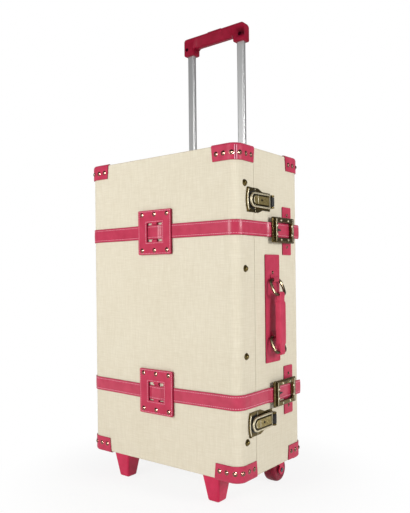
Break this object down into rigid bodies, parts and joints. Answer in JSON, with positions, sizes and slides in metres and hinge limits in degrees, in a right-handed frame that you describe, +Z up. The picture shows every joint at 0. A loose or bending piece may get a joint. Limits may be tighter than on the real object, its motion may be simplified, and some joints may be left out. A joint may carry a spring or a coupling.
{
  "type": "trolley suitcase",
  "caption": "Upright retro trolley suitcase in pale linen with leather straps, caps and carry handle, brass latches, front feet, rear wheels and a pull-out grip on tubes.",
  "frame": {"origin": "on the floor under the middle of the box that holds the whole standing object", "axes": "+Z up, the large strapped face looks along -Y, latches and carry handle are on +X"},
  "size_m": [0.4136, 0.2338, 0.96],
  "materials": {
    "linen": "fine woven cloth on board",
    "lining": "plain cloth",
    "leather": "satin, stitched edges",
    "brass": "aged, satin",
    "crimson_plastic": "satin",
    "aluminium": "polished",
    "steel": "plain",
    "wheel_rubber": "matte"
  },
  "bodies": {
    "base": {"base_rim": "linen", "base_lining_panel": "lining", "trolley_guides": "steel", "trolley_bezel": "crimson_plastic", "trolley_cradle": "crimson_plastic", "wheel_fork_left": "crimson_plastic", "wheel_fork_right": "crimson_plastic", "wheel_axles": "steel", "rear_cap_left_top": "leather", "rear_cap_left_bottom": "leather", "rear_cap_right_top": "leather", "rear_cap_right_bottom": "leather", "buckle_tabs": "leather", "snap_studs": "brass", "lock_plates": "brass", "hasp_pins": "steel", "hinge_leaves_base": "brass", "hinge_pins": "steel", "handle_strip": "leather", "handle_loops": "leather", "base_shell": "linen", "base_rivets": "brass"},
    "lid": {"lid_shell": "linen", "lid_rim": "linen", "lid_lining_panel": "lining", "lid_rivets": "brass", "lid_studs": "brass", "hinge_leaves_lid": "brass", "catch_plates": "brass", "front_foot_left": "crimson_plastic", "front_foot_right": "crimson_plastic", "strap_upper": "leather", "strap_lower": "leather", "strap_pad_upper": "leather", "strap_pad_lower": "leather", "front_cap_left_top": "leather", "front_cap_left_bottom": "leather", "front_cap_right_top": "leather", "front_cap_right_bottom": "leather"},
    "trolley": {"trolley_tube_left": "aluminium", "trolley_tube_right": "aluminium", "trolley_grip": "crimson_plastic"},
    "trolley_release": {"trolley_button": "crimson_plastic"},
    "left_wheel": {"wheel_left": "wheel_rubber"},
    "right_wheel": {"wheel_right": "wheel_rubber"},
    "upper_hasp": {"hasp_upper": "brass", "lock_barrel_upper": "brass"},
    "lower_hasp": {"hasp_lower": "brass", "lock_barrel_lower": "brass"},
    "upper_ring": {"handle_ring_upper": "brass"},
    "lower_ring": {"handle_ring_lower": "brass"},
    "carry_handle": {"carry_grip": "leather"},
    "upper_strap_tail": {"strap_tail_upper": "leather", "buckle_upper": "brass"},
    "lower_strap_tail": {"strap_tail_lower": "leather", "buckle_lower": "brass"}
  },
  "joints": [
    {"name": "lid_hinge", "type": "hinge", "parent": "base", "child": "lid", "pos_m": [-0.20278, -0.05435, 0.352], "axis": [0, 0, -1], "range_deg": [0, 100]},
    {"name": "trolley_slide", "type": "slide", "parent": "base", "child": "trolley", "axis": [0, 0, 1], "range_m": [-0.258, 0]},
    {"name": "trolley_release_press", "type": "slide", "parent": "trolley", "child": "trolley_release", "axis": [0, 0, -1], "range_m": [0, 0.003], "stiffness_N_per_m": 300},
    {"name": "left_wheel_spin", "type": "hinge", "parent": "base", "child": "left_wheel", "pos_m": [-0.15628, 0.07565, 0.024], "axis": [1, 0, 0], "continuous": true},
    {"name": "right_wheel_spin", "type": "hinge", "parent": "base", "child": "right_wheel", "pos_m": [0.13972, 0.07565, 0.024], "axis": [1, 0, 0], "continuous": true},
    {"name": "upper_hasp_swing", "type": "hinge", "parent": "base", "child": "upper_hasp", "pos_m": [0.18942, -0.00635, 0.555], "axis": [0, 0, 1], "range_deg": [0, 120]},
    {"name": "upper_strap_tail_lift", "type": "hinge", "parent": "lid", "child": "upper_strap_tail", "pos_m": [0.18367, -0.06535, 0.504], "axis": [0, 0, -1], "range_deg": [0, 100]},
    {"name": "lower_hasp_swing", "type": "hinge", "parent": "base", "child": "lower_hasp", "pos_m": [0.18942, -0.00635, 0.149], "axis": [0, 0, 1], "range_deg": [0, 120]},
    {"name": "lower_strap_tail_lift", "type": "hinge", "parent": "lid", "child": "lower_strap_tail", "pos_m": [0.18367, -0.06535, 0.193], "axis": [0, 0, -1], "range_deg": [0, 100]},
    {"name": "upper_ring_swing", "type": "hinge", "parent": "base", "child": "upper_ring", "pos_m": [0.18857, 0.00465, 0.409], "axis": [0, -1, 0], "range_deg": [0, 124]},
    {"name": "lower_ring_swing", "type": "hinge", "parent": "base", "child": "lower_ring", "pos_m": [0.18857, 0.00465, 0.301], "axis": [0, -1, 0], "range_deg": [0, 124]},
    {"name": "carry_handle_turn", "type": "hinge", "parent": "upper_ring", "child": "carry_handle", "pos_m": [0.20078, 0.00465, 0.38159], "axis": [0, -1, 0], "range_deg": [-124, 0]}
  ],
  "couplings": [
    {"joint": "lower_ring_swing", "follows": "upper_ring_swing", "ratio": 1},
    {"joint": "carry_handle_turn", "follows": "upper_ring_swing", "ratio": -1}
  ]
}
